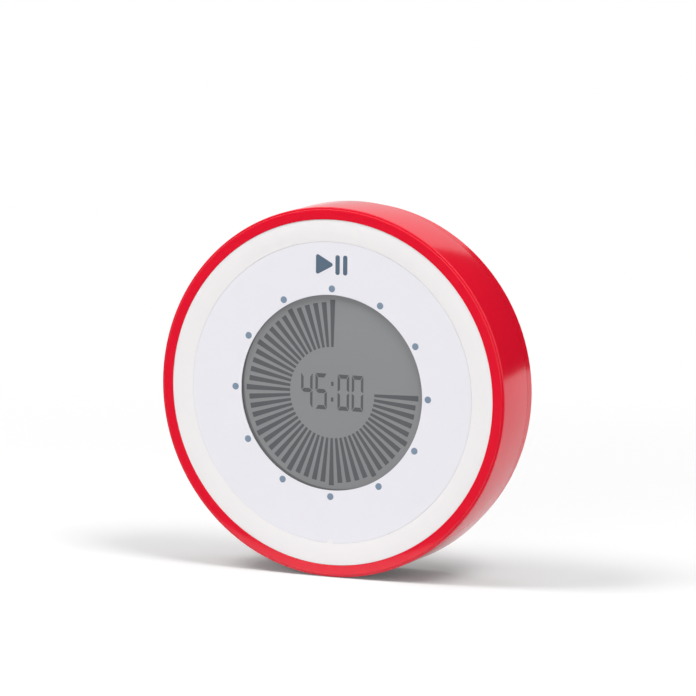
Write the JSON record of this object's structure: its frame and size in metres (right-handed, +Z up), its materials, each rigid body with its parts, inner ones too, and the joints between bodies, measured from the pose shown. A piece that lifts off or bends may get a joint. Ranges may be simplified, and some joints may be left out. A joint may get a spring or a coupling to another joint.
{
  "type": "visual countdown timer",
  "caption": "Round palm-size countdown timer: a turning outer ring around a pressable face with a round display of radial bars, magnets and a battery door on the flat back.",
  "frame": {"origin": "lowest point of the turning ring, under the middle of its depth, on the surface the timer stands on", "axes": "+Z up through 12 o'clock, -Y out of the face towards the reader, +X towards 3 o'clock"},
  "size_m": [0.086, 0.0194, 0.086],
  "materials": {
    "red_plastic": "satin moulded red ABS",
    "white_plastic": "fine matt moulded white ABS",
    "printed_sheet": "fine matt polycarbonate sheet, reverse side clear over the display",
    "acetal": "natural acetal",
    "grey_plastic": "matt grey ABS",
    "dark_plastic": "matt black nylon",
    "board_green": "solder mask over glass fibre",
    "display_glass": "polished thin glass",
    "polariser": "neutral polarising film",
    "reflector": "silver grey reflective film",
    "sponge": "closed cell silicone sponge",
    "steel": "zinc plated steel",
    "nickel": "bright nickel",
    "brass": "rolled brass",
    "ceramic": "fired silvered ceramic",
    "cell_jacket": "plain grey jacket on a steel can",
    "ribbon_film": "polyimide film with carbon tracks",
    "capacitor_can": "sleeved aluminium can"
  },
  "bodies": {
    "base": {"rear_housing": "red_plastic", "face_bezel": "white_plastic", "middle_frame": "grey_plastic", "main_board": "board_green", "board_screws": "steel", "switch_body": "dark_plastic", "encoder_body": "dark_plastic", "controller_chip": "dark_plastic", "clock_crystal": "nickel", "capacitors": "capacitor_can", "board_header": "dark_plastic", "housing_screws": "steel", "magnets": "nickel", "sounder_disc": "brass", "sounder_ceramic": "ceramic", "volume_board": "board_green", "volume_screws": "steel", "volume_switch": "dark_plastic", "battery_cells": "cell_jacket", "contact_plates": "nickel", "battery_springs": "nickel", "return_pads": "sponge", "lcd_ribbon": "ribbon_film"},
    "dial": {"twist_ring": "red_plastic", "dial_gear": "acetal"},
    "encoder_rotor": {"encoder_shaft": "steel", "encoder_pinion": "acetal"},
    "face": {"face_overlay": "printed_sheet", "face_plate": "white_plastic", "guide_screws": "steel", "front_polariser": "polariser", "lcd_front_glass": "display_glass", "lcd_rear_glass": "display_glass", "rear_reflector": "reflector", "lcd_clip": "white_plastic"},
    "plunger": {"switch_plunger": "dark_plastic"},
    "volume": {"volume_knob": "dark_plastic"},
    "door": {"battery_door": "red_plastic", "door_screws": "steel"}
  },
  "joints": [
    {"name": "ring_turn", "type": "hinge", "parent": "base", "child": "dial", "pos_m": [0, 0, 0.043], "axis": [0, -1, 0], "continuous": true},
    {"name": "encoder_turn", "type": "hinge", "parent": "base", "child": "encoder_rotor", "pos_m": [0.016, 0, 0.07071], "axis": [0, -1, 0], "continuous": true},
    {"name": "face_press", "type": "slide", "parent": "base", "child": "face", "axis": [0, 1, 0], "range_m": [0, 0.00035], "stiffness_N_per_m": 1200, "springref_m": -0.0006, "deforming": ["return_pads"]},
    {"name": "plunger_press", "type": "slide", "parent": "base", "child": "plunger", "axis": [0, 1, 0], "range_m": [0, 0.00035]},
    {"name": "volume_slide", "type": "slide", "parent": "base", "child": "volume", "axis": [1, 0, 0], "range_m": [-0.002, 0.002]},
    {"name": "door_lift", "type": "slide", "parent": "base", "child": "door", "axis": [0, 1, 0], "range_m": [0, 0.02]}
  ],
  "couplings": [
    {"joint": "encoder_turn", "follows": "ring_turn", "ratio": 5},
    {"joint": "plunger_press", "follows": "face_press", "ratio": 1}
  ]
}
